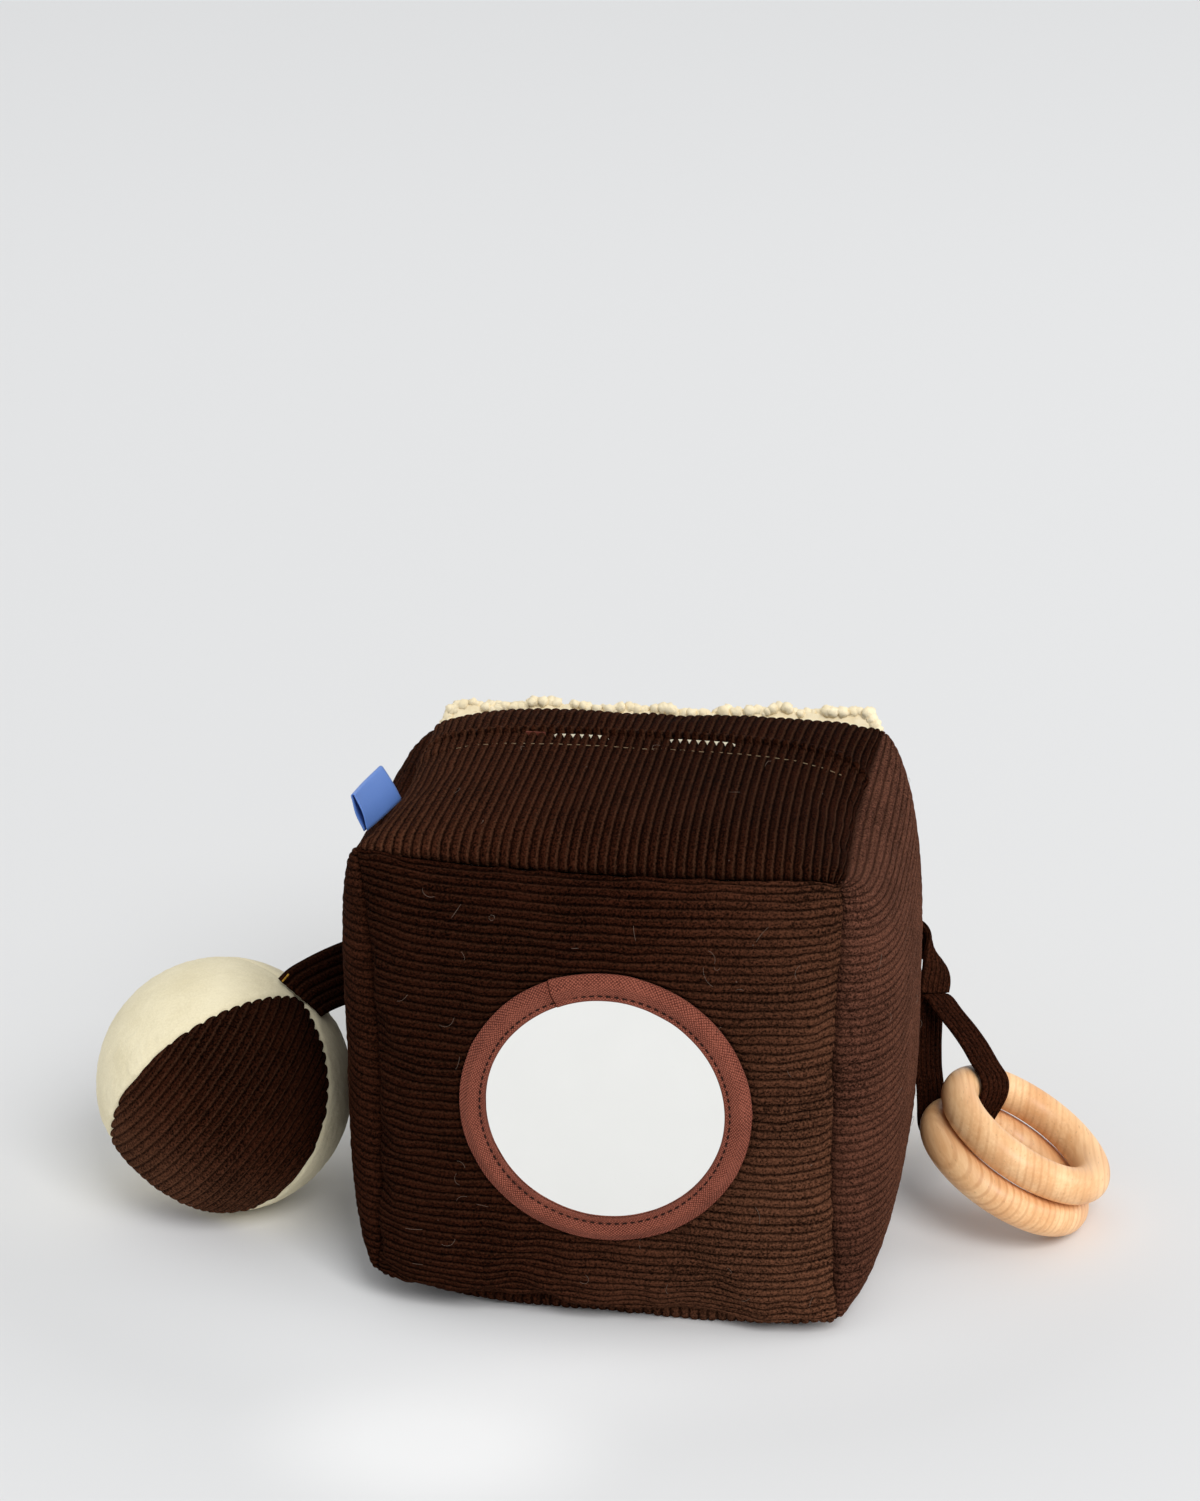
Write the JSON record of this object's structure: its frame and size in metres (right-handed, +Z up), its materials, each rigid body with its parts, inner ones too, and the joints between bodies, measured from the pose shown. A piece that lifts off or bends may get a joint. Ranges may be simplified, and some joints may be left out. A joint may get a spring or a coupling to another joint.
{
  "type": "soft fabric baby block",
  "caption": "Stuffed corduroy cube for a baby with a round sewn-on mirror, a slit pocket in the top, a stuffed ball on a strap and wooden rings in a strap loop.",
  "frame": {"origin": "middle of the flat that the block stands on, on the floor", "axes": "+Z up, -Y out of the face with the mirror, +X to the side with the rings"},
  "size_m": [0.3402, 0.1628, 0.169],
  "materials": {
    "corduroy": "dark brown wide-wale cotton corduroy",
    "sherpa": "cream curled pile",
    "velour": "cream short-pile velour",
    "lining": "cream woven cloth",
    "binding": "rust-brown twill tape",
    "mirror": "flexible silvered film",
    "label": "blue satin ribbon, bare",
    "beech": "smooth unpainted beech",
    "filling": "white fibre stuffing"
  },
  "bodies": {
    "block": {"front_panel": "corduroy", "left_panel": "corduroy", "right_panel": "corduroy", "bottom_panel": "corduroy", "top_front_panel": "corduroy", "top_rear_panel": "corduroy", "back_panel": "sherpa", "pocket_lining": "lining", "pocket_tape": "binding", "block_filling": "filling", "mirror_disc": "mirror", "mirror_binding": "binding"},
    "label": {"side_label": "label"},
    "ball_strap": {"ball_strap": "corduroy"},
    "ball": {"ball_filling": "filling", "ball_gore_front": "corduroy", "ball_gore_rear": "velour", "ball_gore_left": "velour", "ball_gore_right": "velour"},
    "ring_stem": {"ring_strap_stem": "corduroy"},
    "ring_loop": {"ring_strap_loop": "corduroy"},
    "ring_upper": {"ring_upper": "beech"},
    "ring_lower": {"ring_lower": "beech"}
  },
  "joints": [
    {"name": "label_fold", "type": "hinge", "parent": "block", "child": "label", "pos_m": [-0.07442, -0.03, 0.15549], "axis": [0.13, 0.9908, -0.0389], "range_deg": [-45, 25], "stiffness_Nm_per_rad": 0.0001},
    {"name": "ball_strap_swing", "type": "hinge", "parent": "block", "child": "ball_strap", "pos_m": [-0.074, 0.06505, 0.06431], "axis": [0, 0, -1], "range_deg": [0, 70]},
    {"name": "ball_swing", "type": "hinge", "parent": "ball_strap", "child": "ball", "pos_m": [-0.11173, 0.00058, 0.07715], "axis": [0.7825, 0.0454, -0.6209], "range_deg": [-30, 0]},
    {"name": "ring_strap_swing", "type": "hinge", "parent": "block", "child": "ring_stem", "pos_m": [0.07459, 0.06522, 0.0811], "axis": [0, 0, 1], "range_deg": [0, 45]},
    {"name": "ring_loop_lift", "type": "hinge", "parent": "ring_stem", "child": "ring_loop", "pos_m": [0.0958, 0.05518, 0.06288], "axis": [-0.4685, -0.8211, 0.326], "range_deg": [0, 40]},
    {"name": "ring_upper_tilt", "type": "hinge", "parent": "ring_loop", "child": "ring_upper", "pos_m": [0.11064, 0.03907, 0.04104], "axis": [-0.4685, -0.8211, 0.326], "range_deg": [0, 35]},
    {"name": "ring_lower_drop", "type": "hinge", "parent": "ring_loop", "child": "ring_lower", "pos_m": [0.10406, 0.03642, 0.03007], "axis": [-0.4685, -0.8211, 0.326], "range_deg": [-40, 0]}
  ]
}
